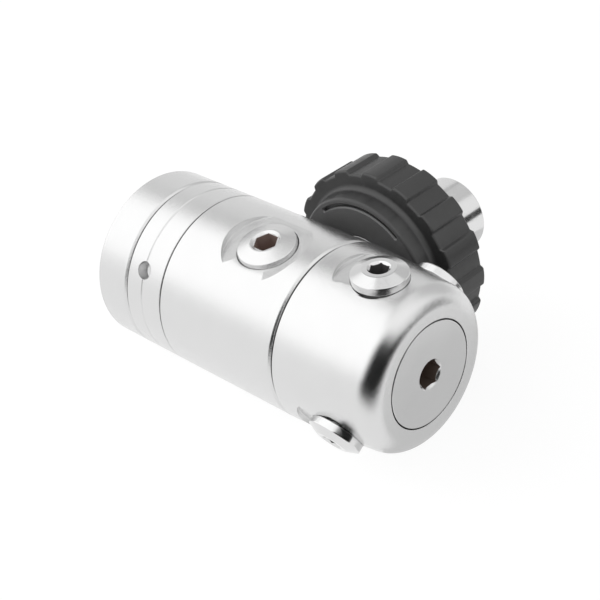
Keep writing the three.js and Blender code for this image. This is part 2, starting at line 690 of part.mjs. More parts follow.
function makeHandwheel() {
  const bore = spindleRadius + gap;
  addOnPort("handwheel_core", turned([
    [barrelStart, bore], [barrelStart, barrelRadius], [flangeStart, barrelRadius],
    [flangeStart, flangeRadius], [flangeEnd, flangeRadius], [flangeEnd, barrelRadius],
    [barrelEnd - barrelChamfer, barrelRadius],
    [barrelEnd, barrelRadius - barrelChamfer], [barrelEnd, barrelMouth], [barrelStep, barrelMouth],
    [barrelStep, bore],
  ], medium), polishedChrome, inletX, 0);
  const grip = barrelRadius + gap;
  const pocket = flangeRadius + gap;
  const hubEdge = [hubFace + hubRound, hubRadius - hubRound];
  const recess = grip + farRecessWidth;
  const envelope = turned([
    [hubFace, grip], ...arc(hubEdge, hubRound, -90, 0, 2),
    [rimNear - hubFillet, hubRadius + hubDraft], [rimNear, hubRadius + hubDraft + hubFillet],
    [rimNear, wheelRadius - wheelChamfer], [rimNear + wheelChamfer, wheelRadius],
    [rimFar - wheelChamfer, wheelRadius], [rimFar, wheelRadius - wheelChamfer],
    [rimFar, recess + farRecessDraft], [rimFar - farRecessDepth, recess], [rimFar - farRecessDepth, grip],
    [flangeEnd + gap, grip], [flangeEnd + gap, pocket],
    [flangeStart - gap, pocket], [flangeStart - gap, grip],
  ]);
  const lobed = common(envelope, prism(notchedOutline(), hubFace - overcut, rimFar + overcut));
  const slots = Array.from({ length: slotCount }, (_, i) =>
    hubSlot(Math.PI / 2 + (i * 2 * Math.PI) / slotCount));
  addOnPort("handwheel_grip", cut(lobed, ...slots), wheelRubber, inletX, 0);
}

makeCap();
makeClamp();
makeAdjuster();
makeDiaphragm();
makeValve();
makeBalancePlug();
makeBody();
makeTurret();
makeTurretBolt();
makeConnector();
makeHandwheel();

// ---------------------------------------------------------------- how it lies
// It touches the table at three rims: the cap's, the handwheel's near one, and the lowest turret plug's top.
const around = (angle) => new THREE.Vector3(0, Math.cos(radians(angle)), Math.sin(radians(angle)));
const lowestPlug = around(lpPortAngles[3]);
const plugTop = lowestPlug.clone().multiplyScalar(plugHeights(lpPort).top).setX(lpPortX);
const wheelEdge = new THREE.Vector3(inletX, rimNear + wheelChamfer, 0);
const rims = [
  { centre: new THREE.Vector3(capRimChamfer, 0, 0), axis: new THREE.Vector3(1, 0, 0), radius: bodyRadius },
  { centre: plugTop, axis: lowestPlug, radius: lpPort.top },
  { centre: wheelEdge, axis: new THREE.Vector3(0, 1, 0), radius: wheelRadius },
];

function lowestPoint({ centre, axis, radius }, up) {
  const down = up.clone().negate().projectOnPlane(axis).normalize();
  return centre.clone().addScaledVector(down, radius);
}

const settlingPasses = 20;
let up = new THREE.Vector3(0, 0, 1);
for (let pass = 0; pass < settlingPasses; pass++) {
  const [cap, plug, wheel] = rims.map((rim) => lowestPoint(rim, up));
  up = plug.sub(cap).cross(wheel.sub(cap)).normalize();
}

const forward = new THREE.Vector3(1, 0, 0).projectOnPlane(up).normalize();
const level = new THREE.Matrix4().makeBasis(forward, up.clone().cross(forward), up).transpose();
bench.applyMatrix4(level);

const part = new THREE.Group();
part.add(bench);
part.updateMatrixWorld(true);
const box = new THREE.Box3().setFromObject(part, true);
const middle = box.getCenter(new THREE.Vector3());
bench.position.sub(new THREE.Vector3(middle.x, middle.y, box.min.z));

export default part;
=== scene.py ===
"""Looks for the first stage of a scuba regulator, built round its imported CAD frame.

Shapes are drawn in bench millimetres: x runs along the body from the cap's face, y out along the cylinder
connector, and an angle round the body is counted from y towards z. A turned shape is drawn round its own z
axis and then placed. BENCH turns bench millimetres into the frame's metres.
"""

import json
import math

import bmesh
import bpy
import numpy as np
from mathutils import Matrix, Vector


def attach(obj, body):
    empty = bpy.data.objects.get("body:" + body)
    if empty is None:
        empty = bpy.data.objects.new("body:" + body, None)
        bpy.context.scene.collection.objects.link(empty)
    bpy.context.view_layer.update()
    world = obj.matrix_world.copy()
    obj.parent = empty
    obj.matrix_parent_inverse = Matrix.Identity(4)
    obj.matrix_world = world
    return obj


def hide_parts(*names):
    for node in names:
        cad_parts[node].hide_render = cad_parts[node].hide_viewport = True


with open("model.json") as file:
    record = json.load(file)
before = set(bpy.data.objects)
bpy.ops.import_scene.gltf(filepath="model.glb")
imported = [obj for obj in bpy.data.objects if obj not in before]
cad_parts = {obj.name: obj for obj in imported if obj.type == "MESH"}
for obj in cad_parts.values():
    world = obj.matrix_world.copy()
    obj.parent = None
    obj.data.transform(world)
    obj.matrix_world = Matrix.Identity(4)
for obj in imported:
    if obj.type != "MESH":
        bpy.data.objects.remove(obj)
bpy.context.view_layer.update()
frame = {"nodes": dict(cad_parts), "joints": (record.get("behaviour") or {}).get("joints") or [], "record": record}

# ------------------------------------------------------------------ sizes, in millimetres
MM = 0.001
TINY = 1e-6  # shorter than any real length
TOUCH = 0.03  # how near a point lies to count as on a line
PAST = 1  # how far a cutting tool stands past the surface
BODY_RADIUS = 21
EDGE = 0.14  # how far each turned edge is broken
SMOOTH_LIMIT = 29  # degrees between faces, above which an edge stays sharp
FINE, MEDIUM, SMALL = 224, 128, 64  # sides of turned shapes

TURRET_START, TURRET_END = 58.1, 84.5
TURRET_ROUND = 4.8  # its end's round edge
TURRET_LEAN = 6.3  # degrees: how far its side leans in where that edge starts
GROOVE_CHAMFER = 0.5

# Where the ports are: along the body, and round it in degrees.
LP_X, HP_X, INLET_X = 72.5, 43.2, 46.5
LP_PLACES = ((LP_X, 91.36), (LP_X - 0.8, 22), (LP_X, 211.36), (LP_X, 271.36))
HP_PLACES = ((HP_X, 102.66), (HP_X, 257.34))
# A port's levels, from the body's axis, and its radii: the spotface at level spot and radius cutter, the
# head's recess, the o-ring's gland, the threaded bore down to its floor, and the passage down to reach.
LP_PORT = dict(spot=19.8, cutter=9.9, recess=19.1, head=6.27, gland=17.6, gland_radius=6.5, bore=4.95,
               floor=12.2, passage=2.6, reach=9.5)
HP_PORT = dict(spot=19.2, cutter=10.4, recess=18.4, head=7.05, gland=16.9, gland_radius=7.0, bore=5.85,
               floor=9.6, passage=2.0, reach=6.0)
INLET_PORT = dict(spot=19.8, cutter=11.0, bore=7.3, floor=9.6, passage=2.8, reach=6.0)
# Sockets for hex keys: across the flats, depth, and the radius of the cone at the mouth.
LP_SOCKET = dict(flats=4, depth=4, mouth=2.55)
HP_SOCKET = dict(flats=5, depth=4.5, mouth=3.35)
BOLT_SOCKET = dict(flats=6, depth=5, mouth=3.6)
SPINDLE_FLATS, SPINDLE_DEPTH, SPINDLE_BORE = 8, 5.3, 3.9
CROSS_HOLE, CROSS_REACH = 2.0, 10

SPANNER_RADIUS, SPANNER_DEPTH, SPANNER_ANGLE, SPANNER_COUNT = 2.1, 3.0, 151.06, 3
SPANNER_X = 16.1
# The gas drilling beside the cavity, and the short one that crosses it.
DRILLING = dict(start=32.8, end=57.4, offset=10.4, radius=1.2)
CROSSING = dict(x=56.2, start=7, radius=1.1)

LOBES, LOBE_DEPTH = 16, 0.95
LOBE_CROWN = 0.1  # how far a lobe's top falls towards its flanks
LOBE_TOP, LOBE_FOOT = 0.21, 0.3  # where a lobe's flank starts and ends, as shares of the pitch
WHEEL_RADIUS, WHEEL_EDGE = 24.1, 0.6
RIM = (26.0, 37.1)  # its near and far faces along the connector
HUB_RADIUS, HUB_ROUND, HUB_DRAFT, HUB_FILLET = 19.0, 0.9, 0.4, 1.4
RIM_FOOT = HUB_RADIUS + HUB_DRAFT + HUB_FILLET
SLOT_RADII, SLOT_DEPTH, SLOT_BEVEL = (16.6, 17.9), 1.2, 0.32
SLOT_SPAN, SLOTS = 83, 3  # degrees, and how many

# ------------------------------------------------------------------ frames


def bench_frame():
    """Bench millimetres to the frame's metres, from the two big joints and the cap's face."""
    joints = {joint["name"]: joint for joint in frame["joints"]}
    swivel, spin = joints["turret_swivel"], joints["handwheel_spin"]
    x = Vector(swivel["axis"]).normalized()
    y = Vector(spin["axis"])
    y = (y - x * y.dot(x)).normalized()
    foot = Vector(swivel["pos_m"])
    cap = min(x.dot(v.co - foot) for v in frame["nodes"]["end_cap"].data.vertices)
    turn = Matrix((x, y, x.cross(y))).transposed()
    return Matrix.LocRotScale(foot + x * cap, turn.to_quaternion(), Vector((MM, MM, MM)))


BENCH = bench_frame()
# A turned shape's z axis along the body, with its x axis on the bench's y.
ALONG = Matrix(((0, 0, 1, 0), (1, 0, 0, 0), (0, 1, 0, 0), (0, 0, 0, 1)))


def port(x, angle):
    """A turned shape's z axis out of the body at an angle, with its x axis along the body."""
    turn = math.radians(angle)
    out = Vector((0, math.cos(turn), math.sin(turn)))
    along = Vector((1, 0, 0))
    rows = Matrix((along, out.cross(along), out)).transposed()
    return Matrix.Translation((x, 0, 0)) @ rows.to_4x4()


INLET = port(INLET_X, 0)

# ------------------------------------------------------------------ outlines: [(along the axis, radius), ...]


def sliced(name, place, angle=90):
    """A turned node's outline: its mesh cut by the half-plane through place's axis at an angle."""
    off_vertices, shortest = 0.02, 1e-4
    turn = Matrix.Rotation(math.radians(angle + off_vertices), 4, "Z")
    local = (BENCH @ place @ turn).inverted()
    mesh = frame["nodes"][name].data
    mesh.calc_loop_triangles()
    points = [local @ v.co for v in mesh.vertices]
    runs = []
    for triangle in mesh.loop_triangles:
        corners = [points[i] for i in triangle.vertices]
        ends = []
        for a, b in zip(corners, corners[1:] + corners[:1]):
            if (a.y > 0) != (b.y > 0):
                crossing = a.lerp(b, a.y / (a.y - b.y))
                ends.append((crossing.z, max(crossing.x, 0.0)))
        if len(ends) == 2 and max(c.x for c in corners) > 0 and math.dist(*ends) > shortest:
            runs.append(ends)
    return tidied(chained(runs))


def chained(runs):
    """Puts short runs end to end, from the axis where any touches it."""
    near = 0.004
    runs = list(runs)
    start = next((i for i, run in enumerate(runs) if min(p[1] for p in run) < near), 0)
    first = runs.pop(start)
    line = sorted(first, key=lambda p: p[1])
    while runs:
        best = min((math.dist(line[-1], run[end]), i, end) for i, run in enumerate(runs) for end in (0, 1))
        if best[0] > near:
            break
        run = runs.pop(best[1])
        line.append(run[1 - best[2]])
    return line


def tidied(line):
    """Drops points that repeat or lie on a straight run. A loop's last point isn't its first."""
    near, flat = 0.006, 0.004
    line = [(along, radius if radius > near else 0.0) for along, radius in line]
    kept = [line[0]]
    for point in line[1:]:
        if math.dist(point, kept[-1]) > near:
            kept.append(point)
    closed = math.dist(kept[0], kept[-1]) <= near
    if closed:
        kept.pop()
    out, count = [], len(kept)
    closed = closed or kept[0][1] > near
    for i, (x, y) in enumerate(kept):
        if not closed and i in (0, count - 1):
            out.append((x, y))
            continue
        (ax, ay), (bx, by) = out[-1] if out else kept[i - 1], kept[(i + 1) % count]
        length = math.hypot(bx - ax, by - ay)
        if length < near or abs((bx - ax) * (ay - y) - (ax - x) * (by - ay)) / length > flat:
            out.append((x, y))
    return out


def capped(line):
    """An outline without the socket in its far face, which then runs straight to the axis, and that face."""
    face = max(along for along, _ in line)
    on_face = [i for i, (along, _) in enumerate(line) if face - along < 0.01]
    first, last = on_face[0], on_face[-1]
    if line[first][1] > line[last][1]:
        return line[: first + 1] + [(face, 0.0)], face
    return [(face, 0.0)] + line[last:], face


def swapped(line, inside, made):
    """Puts a finely drawn run into an outline, in place of the points that inside picks."""
    start = next(i for i, point in enumerate(line) if not inside(*point))
    line = line[start:] + line[:start]
    picked = [i for i, point in enumerate(line) if inside(*point)]
    first, last = picked[0], picked[-1]
    if math.dist(line[first], made[0]) > math.dist(line[first], made[-1]):
        made = made[::-1]
    return line[:first] + made + line[last + 1 :]


def rod(start, end, radius):
    """A plain round bar."""
    return [(start, 0), (start, radius), (end, radius), (end, 0)]


def arc(centre, size, start, end, steps):
    """Points of a round edge. At 0 degrees it faces away from the axis and at 90 along it."""
    return [(centre[0] + size * math.sin(turn), centre[1] + size * math.cos(turn))
            for turn in np.linspace(math.radians(start), math.radians(end), steps + 1)]


def softened(line, size=EDGE, steps=4):
    """Breaks each corner of an outline with a short curve. Nearly straight corners stay."""
    nearly_straight, share = math.radians(14), 0.4
    closed = line[0][1] > TINY
    out, count = [], len(line)
    for i, here in enumerate(line):
        if not closed and i in (0, count - 1):
            out.append(here)
            continue
        here = Vector(here)
        before, after = Vector(line[i - 1]) - here, Vector(line[(i + 1) % count]) - here
        if before.length < TINY or after.length < TINY:
            continue
        if math.pi - before.angle(after) < nearly_straight:
            out.append(tuple(here))
            continue
        reach = min(size, before.length * share, after.length * share)
        a, b = here + before.normalized() * reach, here + after.normalized() * reach
        for t in np.linspace(0, 1, steps + 1):
            out.append(tuple(a.lerp(here, t).lerp(here.lerp(b, t), t)))
    return out


def grooved(line, least, most, pitch=0.3, height=0.018):
    """Cuts fine turning grooves into an outline where both ends of a run are between two radii."""
    wave = (0, 0.5, 1, 0.5)
    out = []
    for a, b in zip(line, line[1:] + line[:1]):
        out.append(a)
        length = math.dist(a, b)
        if not (least < min(a[1], b[1]) and max(a[1], b[1]) < most and length > 3 * pitch):
            continue
        across = ((b[1] - a[1]) / length, (a[0] - b[0]) / length)
        inward = -1 if across[0] > 0 else 1
        count = round(length / pitch) * len(wave)
        for i in range(1, count):
            depth, t = inward * height * wave[i % len(wave)], i / count
            x, r = a[0] + (b[0] - a[0]) * t, a[1] + (b[1] - a[1]) * t
            out.append((x + across[0] * depth, r + across[1] * depth))
    return out


# ------------------------------------------------------------------ meshes


def mesh_object(name, vertices, faces, slot=0):
    mesh = bpy.data.meshes.new(name)
    mesh.from_pydata([tuple(v) for v in vertices], [], faces)
    made = bpy.data.objects.new(name, mesh)
    bpy.context.scene.collection.objects.link(made)
    work = bmesh.new()
    work.from_mesh(mesh)
    bmesh.ops.remove_doubles(work, verts=work.verts, dist=10 * TINY)
    bmesh.ops.recalc_face_normals(work, faces=work.faces)
    for face in work.faces:
        face.material_index = slot
    work.to_mesh(mesh)
    work.free()
    return made


def band(a, b, count):
    """Faces between two closed rows of vertices that start at a and b."""
    return [(a + i, a + (i + 1) % count, b + (i + 1) % count, b + i) for i in range(count)]


def turned(name, line, place, sides=FINE, slot=0):
    """A solid turned round place's z axis."""
    poles = line[0][1] < TINY
    rows = line[1:-1] if poles else line
    angles = [2 * math.pi * i / sides for i in range(sides)]
    vertices = [(r * math.cos(a), r * math.sin(a), z) for z, r in rows for a in angles]
    faces = [face for row in range(len(rows) - 1 if poles else len(rows))
             for face in band(row * sides, (row + 1) % len(rows) * sides, sides)]
    if poles:
        for end, row in ((line[0][0], 0), (line[-1][0], len(rows) - 1)):
            ring = range(row * sides, (row + 1) * sides)
            if abs(end - rows[row][0]) < TINY:
                faces.append(tuple(ring))
                continue
            vertices.append((0, 0, end))
            faces += [(ring[i], ring[(i + 1) % sides], len(vertices) - 1) for i in range(sides)]
    return mesh_object(name, [place @ Vector(v) for v in vertices], faces, slot)


def prism(name, outline, low, high, place, slot=0):
    count = len(outline)
    vertices = [place @ Vector((x, y, z)) for z in (low, high) for x, y in outline]
    caps = [tuple(range(count))[::-1], tuple(range(count, 2 * count))]
    return mesh_object(name, vertices, band(0, count, count) + caps, slot)


def hexagon(flats):
    corner = flats / 2 / math.cos(math.pi / 6)
    return [(corner * math.cos(i * math.pi / 3), corner * math.sin(i * math.pi / 3)) for i in range(6)]


def cut(blank, *tools):
    """Takes the tools out of the blank. A cut face keeps its tool's material slot."""
    slots = 1 + max(face.material_index for tool in tools for face in tool.data.polygons)
    while len(blank.data.materials) < slots:
        blank.data.materials.append(None)
    for tool in tools:
        while len(tool.data.materials) < slots:
            tool.data.materials.append(None)
        step = blank.modifiers.new("cut", "BOOLEAN")
        step.object = tool
        step.operation = "DIFFERENCE"
        step.solver = "EXACT"
        step.material_mode = "INDEX"
    graph = bpy.context.evaluated_depsgraph_get()
    result = bpy.data.meshes.new_from_object(blank.evaluated_get(graph), depsgraph=graph)
    blank.modifiers.clear()
    blank.data = result
    for tool in tools:
        bpy.data.objects.remove(tool)
    return blank


def socket_tools(size, face, place):
    """A hex key's socket: the hexagon and the drilled cone at its floor, in slot 1, and its mouth's cone."""
    flats, mouth, reach, inner = size["flats"], size["mouth"], 0.5, 1
    floor, middle = face - size["depth"], face - size["depth"] / 2
    drill = flats / 2 * 0.97  # just clear of the flats
    tip, overlap = drill * 0.45, 0.02
    hole = [(floor - tip, 0), (floor + overlap, drill), (middle, drill), (middle, 0)]
    top, bottom = face + reach, face - reach
    cone = [(top, 0), (top, mouth + reach), (bottom, mouth - reach), (bottom, 0)]
    return [prism("hex", hexagon(flats), floor, face + PAST, place, inner),
            turned("drill", hole, place, SMALL, inner),
            turned("mouth", cone, place, SMALL)]


def port_tool(size, place):
    """A port: spotface, head recess, gland, threaded bore and passage."""
    above = BODY_RADIUS + 1.5
    spot, floor = size["spot"], size["floor"]
    line = [(above, 0), (above, size["cutter"]), (spot, size["cutter"])]
    if "head" in size:
        line += [(spot, size["head"]), (size["recess"], size["head"]), (size["recess"], size["gland_radius"]),
                 (size["gland"], size["gland_radius"]), (size["gland"], size["bore"])]
    else:
        line += [(spot, size["bore"])]
    line += [(floor, size["bore"]), (floor, size["passage"]), (size["reach"], size["passage"]),
             (size["reach"], 0)]
    return turned("port", softened(line, 0.12, 3), place, MEDIUM)


def finish_shape(made, body, slot, *materials, replaces=(), limit=SMOOTH_LIMIT):
    """Puts a drawn piece in the frame, smooths it between its sharp edges and hangs it on its body."""
    mesh = made.data
    mesh.transform(BENCH)
    work = bmesh.new()
    work.from_mesh(mesh)
    for face in work.faces:
        face.smooth = True
    for edge in work.edges:
        edge.smooth = len(edge.link_faces) == 2 and edge.calc_face_angle() < math.radians(limit)
    work.to_mesh(mesh)
    work.free()
    weighted = made.modifiers.new("weighted", "WEIGHTED_NORMAL")
    weighted.mode = "FACE_AREA"
    weighted.weight = 90
    weighted.keep_sharp = True
    while len(mesh.materials) < len(materials):
        mesh.materials.append(None)
    for i, material in enumerate(materials):
        mesh.materials[i] = material
    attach(made, body)
    if replaces:
        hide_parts(*replaces)
    return made


# ------------------------------------------------------------------ materials

MIX_A, MIX_B, MIX_OUT = 6, 7, 2  # a mix node's sockets for colours


class Nodes:
    """A material's nodes, with its pattern laid out in millimetres along the axes of place."""

    def __init__(self, name, place=None):
        self.material = bpy.data.materials.new(name)
        self.material.use_nodes = True
        self.tree = self.material.node_tree
        self.shader = self.tree.nodes["Principled BSDF"]
        coordinates = self.add("ShaderNodeTexCoord").outputs["Object"]
        where = BENCH @ (place or ALONG)
        layout = self.add("ShaderNodeMapping", vector_type="TEXTURE")
        layout.inputs["Location"].default_value = where.translation
        layout.inputs["Rotation"].default_value = where.to_euler("XYZ")
        layout.inputs["Scale"].default_value = (MM, MM, MM)
        self.link(coordinates, layout.inputs["Vector"])
        self.place = layout.outputs["Vector"]

    def add(self, kind, **settings):
        node = self.tree.nodes.new(kind)
        for key, value in settings.items():
            setattr(node, key, value)
        return node

    def link(self, start, end):
        self.tree.links.new(start, end)

    def noise(self, size, detail=2.0):
        node = self.add("ShaderNodeTexNoise")
        node.inputs["Scale"].default_value = 1 / size
        node.inputs["Detail"].default_value = detail
        self.link(self.place, node.inputs["Vector"])
        return node.outputs["Fac"]

    def rings(self, pitch):
        """Turning marks: fine rings round the axis."""
        phase, wobble = 20, 0.6  # phase is what a wave texture turns by over one unit at scale 1
        node = self.add("ShaderNodeTexWave", wave_type="RINGS", rings_direction="Z")
        node.inputs["Scale"].default_value = 2 * math.pi / pitch / phase
        node.inputs["Distortion"].default_value = wobble
        node.inputs["Detail"].default_value = 3
        self.link(self.place, node.inputs["Vector"])
        return node.outputs["Fac"]

    def spread(self, value, low, high):
        """Maps a noise, which mostly stays between a quarter and three quarters, to a range."""
        node = self.add("ShaderNodeMapRange")
        node.inputs["From Min"].default_value = 0.25
        node.inputs["From Max"].default_value = 0.75
        node.inputs["To Min"].default_value = low
        node.inputs["To Max"].default_value = high
        self.link(value, node.inputs["Value"])
        return node.outputs["Result"]

    def colour(self, value, low, high):
        node = self.add("ShaderNodeMix", data_type="RGBA")
        node.inputs[MIX_A].default_value = (*low, 1)
        node.inputs[MIX_B].default_value = (*high, 1)
        self.link(value, node.inputs[0])
        return node.outputs[MIX_OUT]

    def inside(self, radius, reach, outer, inner):
        """One colour outside a radius round the axis and another inside it."""
        flat = self.add("ShaderNodeVectorMath", operation="MULTIPLY")
        flat.inputs[1].default_value = (1, 1, 0)
        self.link(self.place, flat.inputs[0])
        length = self.add("ShaderNodeVectorMath", operation="LENGTH")
        self.link(flat.outputs["Vector"], length.inputs[0])
        share = self.add("ShaderNodeMapRange")
        share.inputs["From Min"].default_value = radius - reach
        share.inputs["From Max"].default_value = radius + reach
        self.link(length.outputs["Value"], share.inputs["Value"])
        node = self.add("ShaderNodeMix", data_type="RGBA")
        self.link(inner, node.inputs[MIX_A])
        self.link(outer, node.inputs[MIX_B])
        self.link(share.outputs["Result"], node.inputs[0])
        return node.outputs[MIX_OUT]

    def bump(self, value, height, below=None):
        """Raises the surface by up to height millimetres, over any bump below."""
        node = self.add("ShaderNodeBump")
        node.inputs["Strength"].default_value = 1
        node.inputs["Distance"].default_value = height * MM
        self.link(value, node.inputs["Height"])
        if below:
            self.link(below, node.inputs["Normal"])
        return node.outputs["Normal"]

    def broken_edges(self, reach):
        """Normals that round off the edges that cuts leave, over a reach in millimetres."""
        node = self.add("ShaderNodeBevel", samples=4)
        node.inputs["Radius"].default_value = reach * MM
        return node.outputs["Normal"]

    def set(self, **inputs):
        names = {"base": "Base Color", "rough": "Roughness", "normal": "Normal", "metallic": "Metallic",
                 "specular": "Specular IOR Level"}
        for key, value in inputs.items():
            socket = self.shader.inputs[names[key]]
            if isinstance(value, bpy.types.NodeSocket):
                self.link(value, socket)
            else:
                socket.default_value = value
        return self.material


def grey(level):
    return (level, level, level)


def shade(colour, share):
    return tuple(min(c * share, 1) for c in colour)


def satin_metal(name, level, rough, marks=0.0, grain=0.04):
    """Bead-blasted chrome: a fine grain, faint clouds of roughness and, on turned faces, faint rings."""
    nodes = Nodes(name)
    clouds = nodes.noise(size=6.0, detail=3)
    base = nodes.colour(clouds, grey(level * 0.975), grey(level * 1.025))
    normal = nodes.bump(nodes.noise(size=0.17), grain, nodes.broken_edges(reach=0.22))
    if marks:
        normal = nodes.bump(nodes.rings(pitch=0.22), marks, normal)
    rough = nodes.spread(clouds, rough - 0.02, rough + 0.02)
    return nodes.set(base=base, metallic=1.0, rough=rough, normal=normal)


def bright_metal(name, level, rough, place=None, marks=0.0):
    """Polished chrome: almost a mirror, with faint hairlines and handling marks."""
    nodes = Nodes(name, place)
    smears = nodes.noise(size=2.2, detail=4)
    base = nodes.colour(smears, grey(level * 0.98), grey(level * 1.02))
    normal = nodes.bump(nodes.noise(size=0.5), height=0.0006)
    if marks:
        normal = nodes.bump(nodes.rings(pitch=0.3), marks, normal)
    rough = nodes.spread(smears, rough * 0.8, rough * 1.4)
    return nodes.set(base=base, metallic=1.0, rough=rough, normal=normal)


def rubber(name, level, rough, grain, specular=0.5, hub=0.0):
    """Moulded rubber: a fine dull grain with slightly greyer worn clouds. A hub's face is painted lighter: painted
    light.
    """
    nodes = Nodes(name, INLET)
    clouds = nodes.noise(size=5.0, detail=4)
    base = nodes.colour(clouds, grey(level * 0.85), grey(level * 1.2))
    # Painted light: inside the hub's radius the rubber takes the lighter level hub.
    if hub:
        painted_light_hub = nodes.colour(clouds, grey(hub * 0.9), grey(hub * 1.12))
        base = nodes.inside(HUB_RADIUS - 0.8, 0.3, base, painted_light_hub)
    normal = nodes.bump(nodes.noise(size=0.25, detail=3), grain)
    rough = nodes.spread(nodes.noise(size=1.5, detail=3), rough - 0.05, rough + 0.05)
    return nodes.set(base=base, metallic=0.0, rough=rough, normal=normal, specular=specular)


def bare_metal(name, colour, rough, grain=0.004, metallic=1.0):
    """Machined metal: fine turning marks and a little tarnish. A socket's dull walls are less metallic."""
    nodes = Nodes(name)
    tarnish = nodes.noise(size=2.5, detail=4)
    base = nodes.colour(tarnish, shade(colour, 0.85), shade(colour, 1.08))
    normal = nodes.bump(nodes.rings(pitch=0.35), grain)
    rough = nodes.spread(tarnish, rough - 0.04, rough + 0.08)
    return nodes.set(base=base, metallic=metallic, rough=rough, normal=normal)


def plastic(name, colour):
    """Turned plastic: almost even, with a faint cloudiness."""
    nodes = Nodes(name)
    base = nodes.colour(nodes.noise(size=3.0, detail=3), shade(colour, 0.95), colour)
    rough = nodes.spread(nodes.noise(size=0.8), 0.42, 0.52)
    return nodes.set(base=base, rough=rough, normal=nodes.bump(nodes.noise(size=0.4), height=0.004))


def sintered(name, colour, place):
    """Pressed bronze grains, with painted light on their middles and painted shade in the crevices between them.
    """
    grain_size = 0.35
    nodes = Nodes(name, place)
    grains = nodes.add("ShaderNodeTexVoronoi")
    grains.inputs["Scale"].default_value = 1 / grain_size
    nodes.link(nodes.place, grains.inputs["Vector"])
    # Painted light and shade: lighter at each grain's middle, much darker where the grains meet.
    base = nodes.colour(grains.outputs["Distance"], shade(colour, 1.2), shade(colour, 0.4))
    height = nodes.add("ShaderNodeMath", operation="MULTIPLY")
    height.inputs[1].default_value = -1
    nodes.link(grains.outputs["Distance"], height.inputs[0])
    rough = nodes.spread(nodes.noise(size=0.5), 0.45, 0.6)
    return nodes.set(base=base, metallic=1.0, rough=rough, normal=nodes.bump(height.outputs[0], height=0.12))


SATIN = satin_metal("satin_chrome", level=0.70, rough=0.21)
DISC = satin_metal("turned_satin_chrome", level=0.66, rough=0.24, marks=0.0012, grain=0.004)
BRIGHT = bright_metal("polished_chrome", level=0.70, rough=0.13)
BARREL = bright_metal("polished_barrel", level=0.74, rough=0.14, place=INLET, marks=0.0008)
# Hex socket walls: bare metal colours, darkened by painted shade of the deep sockets.
HP_HOLE = bare_metal("bare_socket_painted_shade", (0.36, 0.27, 0.24), rough=0.5, metallic=0.2)
DARK_HOLE = bare_metal("dark_socket", (0.17, 0.165, 0.165), rough=0.4, metallic=0.5)
BOLT_HOLE = bare_metal("bolt_socket", (0.26, 0.20, 0.17), rough=0.35, metallic=0.6)
BRASS = bare_metal("brass", (0.72, 0.60, 0.35), rough=0.28)
STEEL = bare_metal("spring_steel", (0.60, 0.62, 0.63), rough=0.26, grain=0.001)
BRONZE = sintered("sintered_bronze", (0.55, 0.45, 0.31), place=INLET)
# hub is the painted-light level of the hub's face, lighter than the rest of the grip.
WHEEL = rubber("wheel_rubber", level=0.019, rough=0.40, grain=0.012, specular=0.75, hub=0.095)
SEAL = rubber("seal_rubber", level=0.022, rough=0.42, grain=0.003)
PLASTIC = plastic("white_plastic", (0.85, 0.84, 0.80))
BY_SLOT = {"satin_chrome": SATIN, "polished_chrome": BRIGHT, "brass": BRASS, "spring_steel": STEEL,
           "sintered_bronze": BRONZE, "wheel_rubber": WHEEL, "seal_rubber": SEAL, "white_plastic": PLASTIC}

# ------------------------------------------------------------------ the body


def make_cap():
    shell = turned("cap_shell", softened(sliced("end_cap", ALONG)), ALONG)
    finish_shape(shell, "first_stage", "satin_chrome", SATIN, replaces=["end_cap"])


def make_clamp():
    blank = turned("clamp_ring", softened(sliced("diaphragm_clamp", ALONG), 0.1), ALONG)
    floor, top, tip = BODY_RADIUS - SPANNER_DEPTH, BODY_RADIUS + PAST, 0.5
    hole = softened([(floor - tip, 0), (floor, SPANNER_RADIUS), (top, SPANNER_RADIUS), (top, 0)], 0.05, 3)
    places = [port(SPANNER_X, SPANNER_ANGLE + i * 360 / SPANNER_COUNT) for i in range(SPANNER_COUNT)]
    tools = [turned("hole", hole, place, SMALL) for place in places]
    finish_shape(cut(blank, *tools), "first_stage", "satin_chrome", SATIN, replaces=["diaphragm_clamp"])


def make_body():
    blank = turned("body_shell", softened(sliced("main_body", ALONG, 45)), ALONG)
    tools = [port_tool(INLET_PORT, INLET)]
    tools += [port_tool(HP_PORT, port(x, angle)) for x, angle in HP_PLACES]
    d, c = DRILLING, CROSSING
    along = ALONG @ Matrix.Translation((-d["offset"], 0, 0))
    tools.append(turned("drilling", rod(d["start"], d["end"], d["radius"]), along, SMALL))
    tools.append(turned("crossing", rod(c["start"], d["offset"], c["radius"]), port(c["x"], 180), SMALL))
    finish_shape(cut(blank, *tools), "first_stage", "satin_chrome", SATIN, replaces=["main_body"])


def make_turret():
    """Its side narrows with its length to a power, and meets the round edge at TURRET_LEAN."""
    lean, power, between_ports = math.radians(TURRET_LEAN), 1.5, 146.25
    run = TURRET_END - TURRET_ROUND * (1 - math.sin(lean)) - TURRET_START
    narrowing = run * math.tan(lean) / power
    side = [(TURRET_START + run * t, BODY_RADIUS - narrowing * t**power)
            for t in np.linspace(GROOVE_CHAMFER / run, 1, 25)]
    edge = (TURRET_END - TURRET_ROUND, BODY_RADIUS - narrowing - TURRET_ROUND * math.cos(lean))
    side = side[:-1] + arc(edge, TURRET_ROUND, TURRET_LEAN, 90, 18)
    least = (side[0][0] - TOUCH, edge[1] - TOUCH)
    line = swapped(sliced("turret", ALONG, between_ports), lambda x, r: x > least[0] and r > least[1], side)
    blank = turned("turret_shell", softened(line), ALONG)
    tools = [port_tool(LP_PORT, port(x, angle)) for x, angle in LP_PLACES]
    finish_shape(cut(blank, *tools), "turret", "satin_chrome", SATIN, replaces=["turret"])


